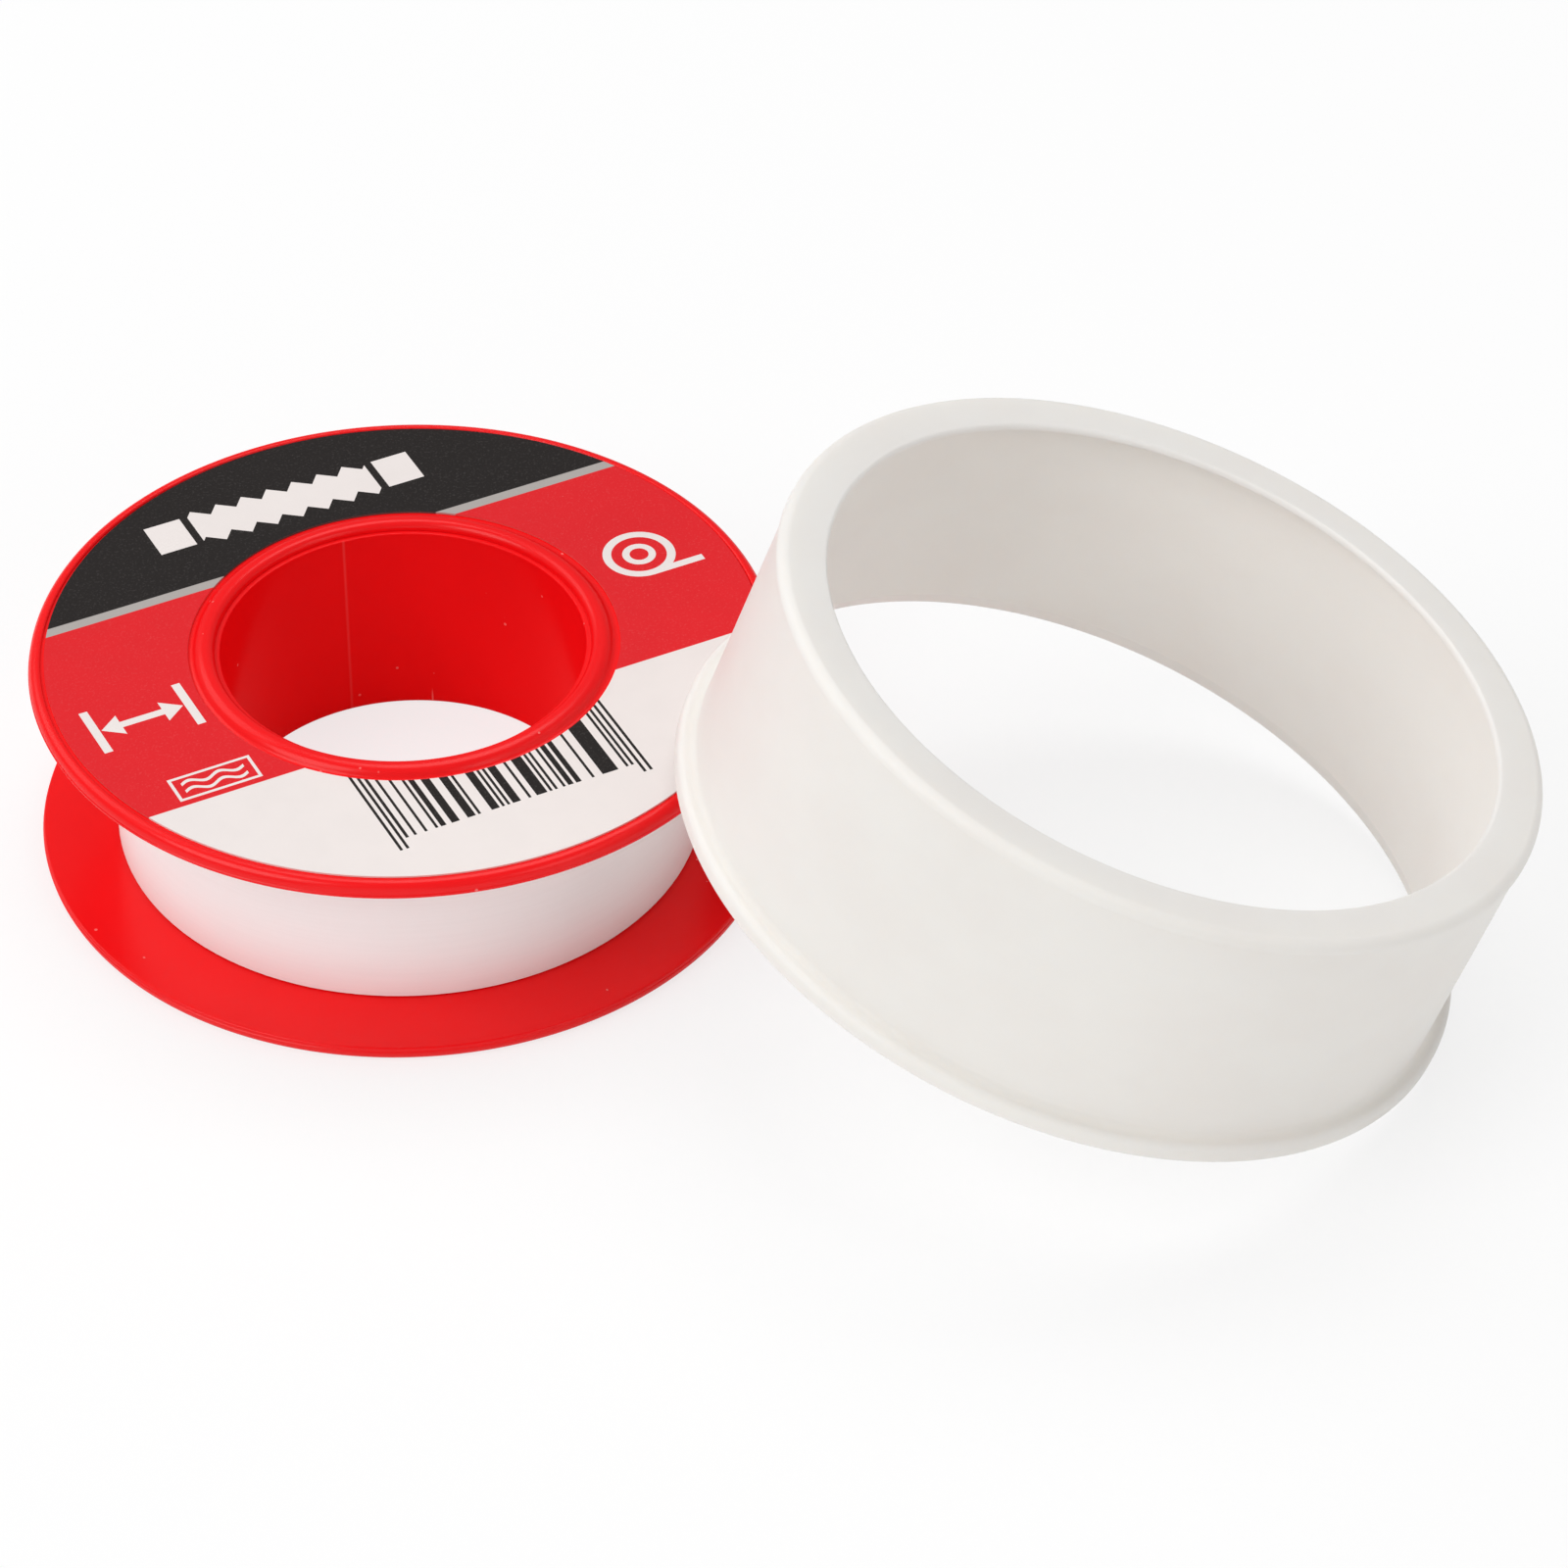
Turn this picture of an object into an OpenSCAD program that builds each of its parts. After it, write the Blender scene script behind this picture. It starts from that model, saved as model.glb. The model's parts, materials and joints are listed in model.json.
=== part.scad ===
// Thread seal tape roll: a two-part flanged spool wound with tape, a paper label on its upper
// flange, and a loose cover ring that leans against the spool.
// Millimetres, +Z up. The origin is on the bore's axis, at the face that the spool rests on.

/* [Spool] */
// Diameter of both flanges
flange_d = 50; // [46:0.5:56]
// Thickness of each flange at its rim
flange_t = 1.1; // [1:0.05:1.8]
// Diameter of the bore through the core, as a share of the flange
bore_share = 0.49; // [0.46:0.01:0.52]
// Wall of the core where both halves overlap
core_wall = 1.6; // [1.4:0.1:1.8]
// Length over which the upper half's sleeve grips the lower half's tube
sleeve_len = 8; // [5:0.5:10]
// Width of the raised rim round each flange
rim_w = 0.8; // [0.7:0.05:1.2]
// Rounding of each flange's outer edge, on the side away from the tape
rim_round = 0.6; // [0.3:0.05:0.65]
// Rounding of each flange's outer edge, on the side of the tape
face_round = 0.15; // [0.1:0.05:0.3]
// Depth of the label recess between rim and collar
recess_depth = 0.2; // [0.15:0.05:0.4]
// Width of the collar round the bore
collar_w = 1.55; // [1.4:0.05:2]
// How far the upper collar stands above the rim
collar_rise = 0.4; // [0.2:0.05:0.8]
// Rounding of the upper collar's outer edge
collar_soft = 0.5; // [0.2:0.05:0.55]
// Rounding of the upper collar's inner edge
collar_round = 0.4; // [0.2:0.05:0.45]
// Rounding of the lower collar's outer edge
foot_soft = 0.15; // [0.05:0.05:0.2]
// Width of the tube's end that shows inside the upper collar
ledge_w = 0.35; // [0.2:0.05:0.5]
// How far the tube ends below the upper rim
ledge_drop = 0.2; // [0.1:0.05:0.3]
// Rounding of the tube's end
ledge_round = 0.1; // [0.05:0.05:0.15]
// Rounding of the bore's lower mouth
mouth_round = 0.4; // [0.2:0.05:0.4]

/* [Tape] */
// Width of the tape
tape_w = 12.7; // [12:0.1:14]
// Diameter of the full roll of tape
roll_d = 39.7; // [34:0.1:44]
// Length of tape on the spool
tape_length = 7000; // [5000:100:12000]
// Direction of the outer turn's end, in degrees from -X
end_turn = -90; // [-180:5:180]

/* [Label] */
// Thickness of the printed paper
label_t = 0.12; // [0.08:0.01:0.2]
// Gap between the label's outer edge and the rim
label_gap = 0.1; // [0.05:0.05:0.3]
// Gap between the label's hole and the collar
label_hole_gap = 0.55; // [0.1:0.05:0.8]

/* [Cover ring] */
// Height of the ring
cover_h = 18.3; // [18:0.1:22]
// Thickness of the ring's wall
cover_wall = 0.9; // [0.8:0.05:1.4]
// Radial play of the ring over the flanges
cover_gap = 0.35; // [0.25:0.05:0.6]
// Width of the ring's flat top, from wall to hole
lip_w = 3.25; // [2.5:0.05:4]
// Thickness of the ring's flat top
lip_t = 0.5; // [0.45:0.05:0.8]
// Rounding inside the ring, between the flat top and the wall
lip_fill = 0.9; // [0.4:0.1:1.2]
// How far the foot bead stands out from the wall
bead_w = 0.9; // [0.6:0.05:1.2]
// Height of the foot bead
bead_h = 1.3; // [1:0.1:2]
// Width of the lead-in chamfer inside the foot
lead_w = 0.65; // [0.3:0.05:0.7]
// Height of the lead-in chamfer inside the foot
lead_h = 1.2; // [0.8:0.1:2]
// Rounding of the ring's top outer edge
cover_round = 0.7; // [0.4:0.05:0.8]
// Height of the ring's top edge, down to the step where the two sides of its mould meet
top_edge_h = 0.9; // [0.85:0.05:1.1]
// How far the top edge stands out from the wall at that step
top_step = 0.1; // [0.05:0.05:0.2]

/* [Resting pose] */
// Direction from the spool to the ring, in degrees from +X
cover_turn = -20.5; // [-40:0.5:0]
// How far the ring's foot reaches over the flange, seen from above
cover_overlap = 5.65; // [4.5:0.05:7]
// Gap between the leaning ring and the flange's rim
lean_gap = 0.3; // [0.2:0.05:0.5]

/* [Fits] */
// Radial gap of the sleeve on the tube and of the tape on the core
seat_gap = 0.03; // [0.02:0.01:0.06]
// Gap on each side of the tape between the flanges
side_gap = 0.1; // [0.05:0.05:0.3]
// Extra reach of a cut past the face that it opens
overrun = 1; // [0.5:0.5:2]

/* [Hidden] */
$fn = 128;

// Colours of the pieces
red_plastic = [0.87, 0.03, 0.03];
white_plastic = [0.86, 0.85, 0.83];
white_tape = [0.93, 0.91, 0.9];
label_paper = [0.75, 0.06, 0.07];

// Spool, worked out from the sizes above
flange_r = flange_d / 2;
bore_r = bore_share * flange_r;
core_r = bore_r + core_wall;
joint_r = bore_r + core_wall / 2;
collar_r = bore_r + collar_w;
rim_in_r = flange_r - rim_w;
groove_w = tape_w + 2 * side_gap;
spool_h = groove_w + 2 * flange_t;
upper_z = flange_t + groove_w;
collar_z = spool_h + collar_rise;
seam_z = spool_h - ledge_drop;
sleeve_z = upper_z - sleeve_len;
edge_soft = 0.4 * (rim_w - rim_round);
collar_bore_r = bore_r + ledge_w;

// Tape: the thickness follows from the length that fills the space between core and roll
roll_r = roll_d / 2;
tape_t = PI * (pow(roll_r, 2) - pow(core_r, 2)) / tape_length;
tape_z = flange_t + side_gap;

// Label
label_in_r = collar_r + label_hole_gap;
label_out_r = rim_in_r - label_gap;
label_z = spool_h - recess_depth;

// Cover ring
wall_in_r = flange_r + cover_gap;
wall_out_r = wall_in_r + cover_wall;
wall_face_r = wall_out_r - top_step;
lip_r = wall_out_r - lip_w;
bead_r = wall_out_r + bead_w;
bead_round = bead_w / 2;
foot_round = 0.35 * bead_w;
foot_in_r = wall_in_r + lead_w;
lip_soft = 0.5 * lip_t;

// Resting pose of the ring: its foot stands on the floor on one side, and the other side leans
// over the flange's rim. The lean is the angle at which the foot clears the rim by lean_gap.
cover_dist = flange_r + bead_r - cover_overlap;
cover_x = cover_dist * cos(cover_turn);
cover_y = cover_dist * sin(cover_turn);
bead_mid_r = bead_r - foot_round;
rim_mid_r = flange_r - rim_round;
rim_mid_z = spool_h - rim_round;
turn_step = 2;
lean_low = 4;
lean_high = 40;
lean_rounds = 24;

// Height of the ring's foot centre at a lean, so that the bead's lowest point is on the floor
function foot_z(lean) = bead_mid_r * sin(lean) + foot_round * (1 - cos(lean));

// A point of a circle round the ring's axis, in the spool's frame, at a lean
function ring_point(radius, height, turn, lean) = [
    cover_x + radius * cos(turn) * cos(lean) + height * sin(lean),
    cover_y + radius * sin(turn),
    foot_z(lean) - radius * cos(turn) * sin(lean) + height * cos(lean)
];

// Clearance of a point from the rounded rim of the upper flange
function rim_gap(point) =
    let (across = norm([point[0], point[1]]))
    across < rim_mid_r
        ? point[2] - spool_h
        : norm([across - rim_mid_r, point[2] - rim_mid_z]) - rim_round;

// Least clearance of the ring's foot, over the bead's edge and the chamfer's edge
function foot_gap(lean) = min([
    for (turn = [0 : turn_step : 360 - turn_step])
        min(rim_gap(ring_point(bead_mid_r, foot_round, turn, lean)) - foot_round,
            rim_gap(ring_point(foot_in_r, 0, turn, lean)))
]);

// Halve the range of the lean until the clearance is the one asked for
function lean_between(low, high, rounds) =
    let (middle = (low + high) / 2)
    rounds <= 0
        ? middle
        : foot_gap(middle) < lean_gap
            ? lean_between(middle, high, rounds - 1)
            : lean_between(low, middle, rounds - 1);

cover_lean = lean_between(lean_low, lean_high, lean_rounds);

echo(cover_lean = cover_lean, cover_x = cover_x, cover_y = cover_y, foot_height = foot_z(cover_lean));
echo(spool_h = spool_h, tape_t = tape_t, cover_axis = [sin(cover_lean), 0, cos(cover_lean)]);

// What rounds off the corner of an outline: to_r and to_z point from the corner into the shape
module corner_off(r, z, round, to_r, to_z) {
    difference() {
        translate([r + to_r * (round - overrun) / 2, z + to_z * (round - overrun) / 2])
            square(round + overrun, center = true);
        translate([r + to_r * round, z + to_z * round])
            circle(round);
    }
}

// A rectangle in the plane of radius and height, with a rounding at each corner
module soft_section(inner, outer, low, high, in_low, out_low, out_high, in_high) {
    difference() {
        translate([inner, low])
            square([outer - inner, high - low]);
        if (in_low > 0) corner_off(inner, low, in_low, 1, 1);
        if (out_low > 0) corner_off(outer, low, out_low, -1, 1);
        if (out_high > 0) corner_off(outer, high, out_high, -1, -1);
        if (in_high > 0) corner_off(inner, high, in_high, 1, -1);
    }
}

// A plain rectangle in the same plane
module plain_section(inner, outer, low, high) {
    translate([inner, low])
        square([outer - inner, high - low]);
}

// The filling of an inside corner: to_r and to_z point from the corner into the open space
module corner_fillet(r, z, round, to_r, to_z) {
    difference() {
        translate([r + to_r * round / 2, z + to_z * round / 2])
            square(round, center = true);
        translate([r + to_r * round, z + to_z * round])
            circle(round);
    }
}

// Outline of the lower half: flange with its rim and collar, and the core tube with its rebate
module lower_outline() {
    difference() {
        soft_section(bore_r, flange_r, 0, flange_t, mouth_round, rim_round, face_round, 0);
        plain_section(collar_r, rim_in_r, -overrun, recess_depth);
        corner_off(rim_in_r, 0, edge_soft, 1, 1);
        corner_off(collar_r, 0, foot_soft, -1, 1);
    }
    plain_section(bore_r, core_r, flange_t, sleeve_z - seat_gap);
    soft_section(bore_r, joint_r - seat_gap, flange_t, seam_z, 0, 0, 0, ledge_round);
}

// Outline of the upper half: flange, rounded collar and the sleeve that grips the tube
module upper_outline() {
    difference() {
        union() {
            difference() {
                soft_section(collar_bore_r, flange_r, upper_z, spool_h, 0, face_round, rim_round, 0);
                plain_section(0, rim_in_r, label_z, spool_h + overrun);
                corner_off(rim_in_r, spool_h, edge_soft, 1, -1);
            }
            soft_section(collar_bore_r, collar_r, upper_z, collar_z, 0, 0, collar_soft, collar_round);
        }
        plain_section(0, joint_r, upper_z - overrun, seam_z);
    }
    plain_section(joint_r, core_r, sleeve_z, upper_z + (label_z - upper_z) / 2);
}

// Outline of the cover ring: wall, flat top with a hole, foot bead and lead-in chamfer
module cover_outline() {
    difference() {
        union() {
            plain_section(wall_in_r, wall_face_r, 0, cover_h - cover_round);
            soft_section(wall_in_r, wall_out_r, cover_h - top_edge_h, cover_h, 0, 0, cover_round, 0);
            soft_section(lip_r, wall_out_r - cover_round, cover_h - lip_t, cover_h,
                         lip_soft / 2, 0, 0, lip_soft);
            soft_section(wall_in_r, bead_r, 0, bead_h, 0, foot_round, bead_round, 0);
            corner_fillet(wall_face_r, bead_h, bead_round, 1, 1);
            corner_fillet(wall_in_r, cover_h - lip_t, lip_fill, -1, -1);
        }
        polygon([
            [wall_in_r, lead_h],
            [foot_in_r, 0],
            [foot_in_r, -overrun],
            [wall_in_r - overrun, -overrun],
            [wall_in_r - overrun, lead_h]
        ]);
    }
}

// Cross-section of the roll: two half discs, the second wider by half a tape, leave one step
// of the tape's thickness where the outer turn ends
module wound_disc() {
    reach = 2 * roll_r;
    intersection() {
        circle(roll_r);
        translate([-reach, -reach])
            square([2 * reach, reach]);
    }
    intersection() {
        translate([-tape_t / 2, 0])
            circle(roll_r + tape_t / 2);
        translate([-reach, 0])
            square([2 * reach, reach]);
    }
}

module spool_lower_half() {
    color(red_plastic)
        rotate_extrude()
            lower_outline();
}

module spool_upper_half() {
    color(red_plastic)
        rotate_extrude()
            upper_outline();
}

module tape_roll() {
    color(white_tape)
        translate([0, 0, tape_z])
            difference() {
                rotate([0, 0, end_turn])
                    linear_extrude(tape_w)
                        wound_disc();
                translate([0, 0, -overrun])
                    cylinder(h = tape_w + 2 * overrun, r = core_r + seat_gap);
            }
}

module paper_label() {
    color(label_paper)
        translate([0, 0, label_z])
            difference() {
                cylinder(h = label_t, r = label_out_r);
                translate([0, 0, -overrun])
                    cylinder(h = label_t + 2 * overrun, r = label_in_r);
            }
}

module cover_ring() {
    color(white_plastic)
        translate([cover_x, cover_y, foot_z(cover_lean)])
            rotate([0, cover_lean, 0])
                rotate_extrude()
                    cover_outline();
}

spool_lower_half();
spool_upper_half();
tape_roll();
paper_label();
cover_ring();
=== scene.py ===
# %% [markdown]
# Thread seal tape roll
#
# A plumber's consumable in five pieces: two red moulded halves that press together into a spool, a
# soft white tape wound between their flanges, a printed paper ring stuck on the upper flange, and a
# milky cover ring that has been taken off and leans against the spool. This lesson dresses the exact
# solids for a picture. Almost everything here is round, so most pieces are outlines turned about an
# axis, and most of the work goes into roundings, the winding and the finishes.

# %% Load the solids
import json
import math

import bpy
from mathutils import Matrix, Quaternion, Vector, noise


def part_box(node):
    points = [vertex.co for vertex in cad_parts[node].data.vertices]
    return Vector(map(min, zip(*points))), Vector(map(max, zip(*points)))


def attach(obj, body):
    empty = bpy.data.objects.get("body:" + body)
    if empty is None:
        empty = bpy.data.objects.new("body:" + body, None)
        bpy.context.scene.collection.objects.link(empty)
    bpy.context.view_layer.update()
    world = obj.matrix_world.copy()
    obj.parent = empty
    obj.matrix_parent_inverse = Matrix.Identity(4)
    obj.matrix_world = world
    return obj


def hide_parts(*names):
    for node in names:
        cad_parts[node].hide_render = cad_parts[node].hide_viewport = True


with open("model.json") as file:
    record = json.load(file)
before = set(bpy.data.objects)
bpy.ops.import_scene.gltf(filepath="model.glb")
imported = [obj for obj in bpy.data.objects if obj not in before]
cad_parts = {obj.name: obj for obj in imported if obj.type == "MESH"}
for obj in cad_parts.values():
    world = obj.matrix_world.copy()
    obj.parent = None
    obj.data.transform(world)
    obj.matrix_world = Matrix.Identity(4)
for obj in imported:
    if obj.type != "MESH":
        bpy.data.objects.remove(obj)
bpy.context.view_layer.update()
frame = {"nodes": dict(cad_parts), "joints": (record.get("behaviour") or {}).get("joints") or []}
nodes = frame["nodes"]
MM = 0.001
print("solids:", ", ".join(sorted(nodes)))

# %% [markdown]
# Sizes
#
# The frame already knows how large each solid is. Reading the main sizes from it keeps the dressed
# pieces on the solids, so only roundings, walls and other small features need a number of their own.

# %% Measure the solids
lower_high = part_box("spool_lower_half")[1]
upper_low, upper_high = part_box("spool_upper_half")
roll_low, roll_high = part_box("tape_roll")
paper_low, paper_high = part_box("paper_label")

flange_r = upper_high.x
collar_top = upper_high.z
tube_top = lower_high.z
sleeve_foot = upper_low.z
label_r = paper_high.x
label_z = paper_low.z
label_t = paper_high.z - paper_low.z
roll_r = roll_high.x
roll_foot = roll_low.z
roll_top = roll_high.z
print(f"flange {2 * flange_r / MM:.1f} mm across, roll {2 * roll_r / MM:.1f} mm across")
print(f"tape {(roll_top - roll_foot) / MM:.1f} mm wide, spool {collar_top / MM:.1f} mm high")

# %% [markdown]
# Sizes of the spool
#
# The spool's halves meet inside the core, so most of their small sizes can't be read from a box. They
# are given here once. The tube's wall is split in half where the sleeve closes over it, and the two
# flanges share one edge: a large rounding outside, a small one towards the tape, and between them a fine
# line where the two sides of the mould met.

# %% Sizes of the spool
tape_play = 0.1 * MM
groove_w = roll_top - roll_foot + 2 * tape_play
flange_t = roll_foot - tape_play
rim_top = groove_w + 2 * flange_t
upper_face = rim_top - flange_t

bore_r = 12.25 * MM
tube_wall = 1.6 * MM
core_r = bore_r + tube_wall
joint_r = bore_r + tube_wall / 2
seat_gap = 0.03 * MM
collar_w = 1.55 * MM
collar_r = bore_r + collar_w
ledge_w = 0.35 * MM
collar_bore_r = bore_r + ledge_w
rim_w = 0.8 * MM
rim_in_r = flange_r - rim_w
recess_depth = 0.2 * MM

rim_round = 0.62 * MM
rim_in_round = 0.17 * MM
face_round = 0.15 * MM
mould_line = 0.05 * MM
mould_line_drop = 0.3 * MM
mould_line_z = flange_t - mould_line_drop
print(f"flanges {flange_t / MM:.2f} mm thick, {groove_w / MM:.2f} mm apart")

# %% [markdown]
# Finishes as expressions
#
# A finish is a tree of shader nodes. Wiring nodes one by one hides the idea behind the wires, so a
# small class wraps a node's output and lets plain arithmetic add the Math nodes. Every other node comes
# from one method that takes its type, its settings and what goes into its sockets. Inside a finish, places
# and depths are in millimetres, and everywhere else the script works in metres.

# %% A value that varies over a surface
class Wire:
    """One output of a node. Arithmetic on it adds Math nodes to its finish."""

    def __init__(self, finish, socket):
        self.finish = finish
        self.socket = socket

    def __add__(self, other):
        return self.finish.math("ADD", self, other)

    def __radd__(self, other):
        return self.finish.math("ADD", other, self)

    def __sub__(self, other):
        return self.finish.math("SUBTRACT", self, other)

    def __rsub__(self, other):
        return self.finish.math("SUBTRACT", other, self)

    def __mul__(self, other):
        return self.finish.math("MULTIPLY", self, other)

    def __rmul__(self, other):
        return self.finish.math("MULTIPLY", other, self)

    def __truediv__(self, other):
        return self.finish.math("DIVIDE", self, other)

    def __rtruediv__(self, other):
        return self.finish.math("DIVIDE", other, self)

    def __or__(self, other):
        return self.finish.math("MAXIMUM", self, other)

    def __ror__(self, other):
        return self.finish.math("MAXIMUM", other, self)

    def __abs__(self):
        return self.finish.math("ABSOLUTE", self)

    def __gt__(self, other):
        return self.finish.math("GREATER_THAN", self, other)

    def __lt__(self, other):
        return self.finish.math("LESS_THAN", self, other)

    def fraction(self):
        return self.finish.math("FRACT", self)

    def whole(self):
        return self.finish.math("FLOOR", self)

    def above(self, edge, blur):
        """0 well below the edge, 1 well above it, and a smooth change over the blur."""
        sockets = {"Value": self, "From Min": edge - blur / 2, "From Max": edge + blur / 2}
        return self.finish.node("ShaderNodeMapRange", {"interpolation_type": "SMOOTHSTEP"}, sockets)

    def beside(self, *names):
        """Outputs of the same node, by their names."""
        outputs = self.socket.node.outputs
        return [Wire(self.finish, outputs[name]) for name in names]


print("a wire can be added, subtracted, multiplied, divided and compared")

# %% A finish
SPECK_BLUR_SHARE = 0.5


def find_socket(sockets, key):
    """A socket by its number, its identifier or its name."""
    if isinstance(key, int):
        return sockets[key]
    for socket in sockets:
        if socket.identifier == key:
            return socket
    return sockets[key]


def socket_name(word):
    """The shader's own name for a socket: base_color is Base Color, and ior is IOR."""
    return word.replace("_", " ").title().replace("Ior", "IOR")


class Finish:
    """A material made in code, with places on the piece measured in millimetres."""

    def __init__(self, name):
        self.material = bpy.data.materials.new(name)
        self.material.use_nodes = True
        self.tree = self.material.node_tree
        self.tree.nodes.clear()

    def node(self, kind, settings=None, sockets=None, out=0):
        """A new node, and the output of it that is asked for. A node that ends the tree has none."""
        made = self.tree.nodes.new(kind)
        for key, value in (settings or {}).items():
            setattr(made, key, value)
        for key, value in (sockets or {}).items():
            socket = find_socket(made.inputs, key)
            if isinstance(value, Wire):
                self.tree.links.new(value.socket, socket)
            else:
                socket.default_value = value
        if out is None:
            return None
        return Wire(self, find_socket(made.outputs, out))

    def math(self, operation, *values):
        return self.node("ShaderNodeMath", {"operation": operation}, dict(enumerate(values)))

    def vector(self, operation, first, **sockets):
        return self.node("ShaderNodeVectorMath", {"operation": operation}, {0: first, **sockets})

    def place(self):
        """The point on the piece, in millimetres of the piece's own frame."""
        coordinates = self.node("ShaderNodeTexCoord", out="Object")
        return self.vector("SCALE", coordinates, Scale=1 / MM)

    def axes(self, point):
        return self.node("ShaderNodeSeparateXYZ", sockets={0: point}).beside("X", "Y", "Z")

    def length(self, first, second):
        """The distance from the middle, by two places at right angles to each other."""
        return self.math("SQRT", first * first + second * second)

    def stretch(self, point, scales):
        return self.node("ShaderNodeVectorMath", {"operation": "MULTIPLY"}, {0: point, 1: scales})

    def grain(self, point, scale, detail, rough=0.5):
        sockets = {"Vector": point, "Scale": scale, "Detail": detail, "Roughness": rough}
        return self.node("ShaderNodeTexNoise", sockets=sockets)

    def specks(self, point, spacing, size, share):
        """Small round specks: one in each cell of the given spacing, of which only a share is kept."""
        cells = self.node("ShaderNodeTexVoronoi", sockets={"Vector": point, "Scale": 1 / spacing})
        distance, colour = cells.beside("Distance", "Color")
        chance = self.axes(colour)[0]
        edge = size / spacing
        near = 1 - distance.above(edge, SPECK_BLUR_SHARE * edge)
        return near * (chance < share)

    def blend(self, mask, first, second):
        """One colour where the mask is 0 and another where it is 1."""
        sockets = {"Factor_Float": mask, "A_Color": first, "B_Color": second}
        return self.node("ShaderNodeMix", {"data_type": "RGBA"}, sockets, "Result_Color")

    def bump(self, height, depth):
        """A normal for a height that runs from 0 to 1, with the depth in millimetres."""
        sockets = {"Height": height, "Distance": depth * MM, "Strength": 1.0}
        return self.node("ShaderNodeBump", sockets=sockets)

    def done(self, shader):
        """The material, with this shader on its surface."""
        self.node("ShaderNodeOutputMaterial", sockets={"Surface": shader}, out=None)
        print(f"{self.material.name}: {len(self.tree.nodes)} nodes")
        return self.material

    def surface(self, **sockets):
        """The material, with a shader whose sockets are given in plain words."""
        named = {socket_name(word): value for word, value in sockets.items()}
        return self.done(self.node("ShaderNodeBsdfPrincipled", sockets=named, out="BSDF"))


print("the edge of a speck blurs over a share of", SPECK_BLUR_SHARE, "of its size")

# %% Colours as light
CHART_TOP = 255
CURVE_SHIFT = 0.055
CURVE_POWER = 2.4
WHITE = (1.0, 1.0, 1.0, 1.0)


def linear(red, green, blue):
    """A colour as a paint chart gives it, from 0 to 255, as the light that a shader works with."""
    parts = [(part / CHART_TOP + CURVE_SHIFT) / (1 + CURVE_SHIFT) for part in (red, green, blue)]
    return (*[part ** CURVE_POWER for part in parts], 1.0)


mid_grey = 128
print("a mid grey of", mid_grey, "is", round(linear(mid_grey, mid_grey, mid_grey)[0], 3), "as light")

# %% [markdown]
# Turning an outline
#
# Spool halves and cover ring are bodies of revolution. A lathe takes a closed outline in the plane of
# radius and height and turns it about the axis. Each corner of the outline carries its own rounding,
# because a moulded edge is never sharp and its rounding is what catches the light.

# %% Outlines with rounded corners
ARC_STEPS = 7


def rounded_outline(corners):
    """Points of a closed outline from its corners, each given as radius, height and rounding."""
    points = []
    for index, (radius, height, rounding) in enumerate(corners):
        corner = Vector((radius, height))
        if rounding == 0:
            points.append(corner)
            continue
        back = (Vector(corners[index - 1][:2]) - corner).normalized()
        ahead = (Vector(corners[(index + 1) % len(corners)][:2]) - corner).normalized()
        half_turn = back.angle(ahead) / 2
        reach = rounding / math.tan(half_turn)
        middle = corner + (back + ahead).normalized() * rounding / math.sin(half_turn)
        start = corner + back * reach - middle
        turn = start.angle_signed(corner + ahead * reach - middle)
        for step in range(ARC_STEPS + 1):
            points.append(middle + Matrix.Rotation(-turn * step / ARC_STEPS, 2) @ start)
    return points


print("each rounding has", ARC_STEPS, "steps")

# %% Lathe
LATHE_STEPS = 240
SHARP_ANGLE = math.radians(35)


def new_piece(name, points, faces, finish):
    mesh = bpy.data.meshes.new(name)
    mesh.from_pydata(points, [], faces)
    mesh.update()
    mesh.shade_smooth()
    mesh.set_sharp_from_angle(angle=SHARP_ANGLE)
    mesh.materials.append(finish)
    piece = bpy.data.objects.new(name, mesh)
    bpy.context.scene.collection.objects.link(piece)
    print(f"{name}: {len(points)} points, {len(faces)} faces")
    return piece


def bridge(here, there, count):
    """Faces between two neighbouring sections with this count of points, given their first points."""
    faces = []
    for index in range(count):
        after = (index + 1) % count
        faces.append((here + index, there + index, there + after, here + after))
    return faces


def lathe(name, corners, finish):
    outline = rounded_outline(corners)
    count = len(outline)
    points = []
    faces = []
    for step in range(LATHE_STEPS):
        turn = 2 * math.pi * step / LATHE_STEPS
        for radius, height in outline:
            points.append((radius * math.cos(turn), radius * math.sin(turn), height))
        faces += bridge(step * count, (step + 1) % LATHE_STEPS * count, count)
    piece = new_piece(name, points, faces, finish)
    weighted = piece.modifiers.new("even_normals", "WEIGHTED_NORMAL")
    weighted.keep_sharp = True
    return piece


print("a full turn has", LATHE_STEPS, "steps")

# %% [markdown]
# Red plastic
#
# Both spool halves are polypropylene, coloured right through. It is smooth but not polished: the gloss
# is soft, the surface has a slight orange peel from the mould, and dust and lint cling to it. The gloss
# could come from the plastic itself, but that turns pale where one looks along the wall of the bore.
# Here a thin coat gives it, which almost ends at the bore, and sparse specks give the dust.

# %% Dust and lint
lint_specks = {"spacing": 1.3, "size": 0.11, "share": 0.13}
fibre_stretch = (1.0, 1.0, 0.07)
fibre_specks = {"spacing": 1.1, "size": 0.08, "share": 0.3}
slant_turn = (0.7, 0.4, 0.3)
slant_stretch = (1.0, 1.0, 0.12)
slant_specks = {"spacing": 1.5, "size": 0.08, "share": 0.16}
dust_share = 0.85


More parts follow.
